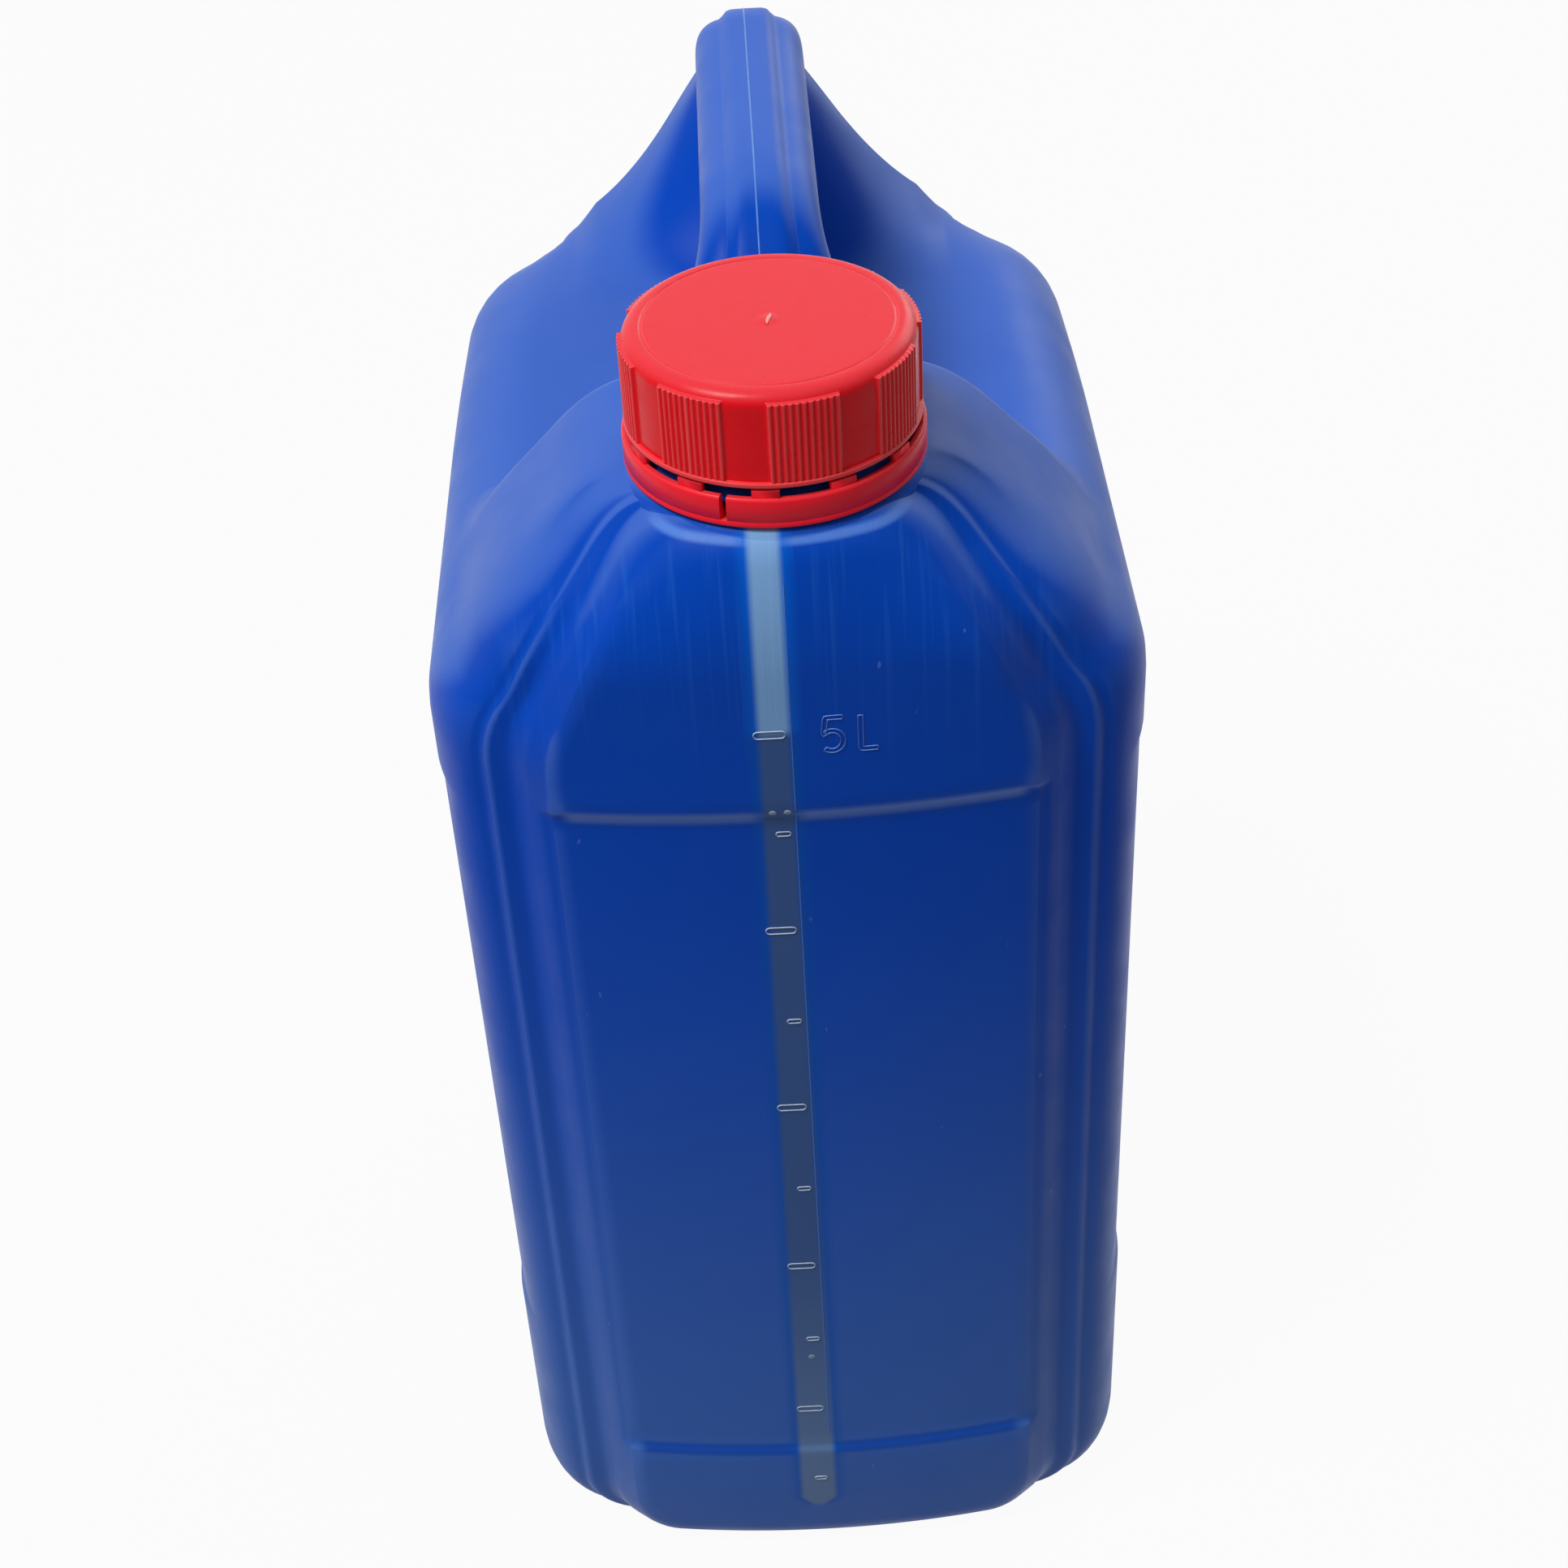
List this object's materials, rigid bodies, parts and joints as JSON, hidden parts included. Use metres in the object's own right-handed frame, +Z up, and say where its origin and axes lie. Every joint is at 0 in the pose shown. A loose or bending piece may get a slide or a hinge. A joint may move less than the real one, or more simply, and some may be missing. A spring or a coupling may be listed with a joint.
{
  "type": "liquid canister",
  "caption": "Upright rectangular blow-moulded liquid canister with a corner-grooved body, a hollow top handle, a screw cap over a front neck and a tamper ring.",
  "frame": {"origin": "middle of the base, on the surface it stands on", "axes": "+Z up, the narrow front with the neck looks along -Y, the handle's post is at +Y, +X to the right seen from the front"},
  "size_m": [0.131, 0.19, 0.2925],
  "materials": {
    "body": "satin blue polyethylene with a translucent level strip",
    "cap": "semi-gloss red",
    "liner": "matte off-white foam",
    "ring": "semi-gloss red"
  },
  "bodies": {
    "jug": {"jug_body": "body", "tamper_ring": "ring"},
    "seal": {"cap_liner": "liner"},
    "cap": {"screw_cap": "cap"}
  },
  "joints": [
    {"name": "cap_lift", "type": "slide", "parent": "jug", "child": "seal", "axis": [0, 0, 1], "range_m": [0, 0.0053]},
    {"name": "cap_turn", "type": "hinge", "parent": "seal", "child": "cap", "pos_m": [0, -0.0627, 0.28], "axis": [0, 0, 1], "range_deg": [0, 450]}
  ],
  "couplings": [
    {"joint": "cap_lift", "follows": "cap_turn", "m_per_rad": 0.00066845}
  ]
}
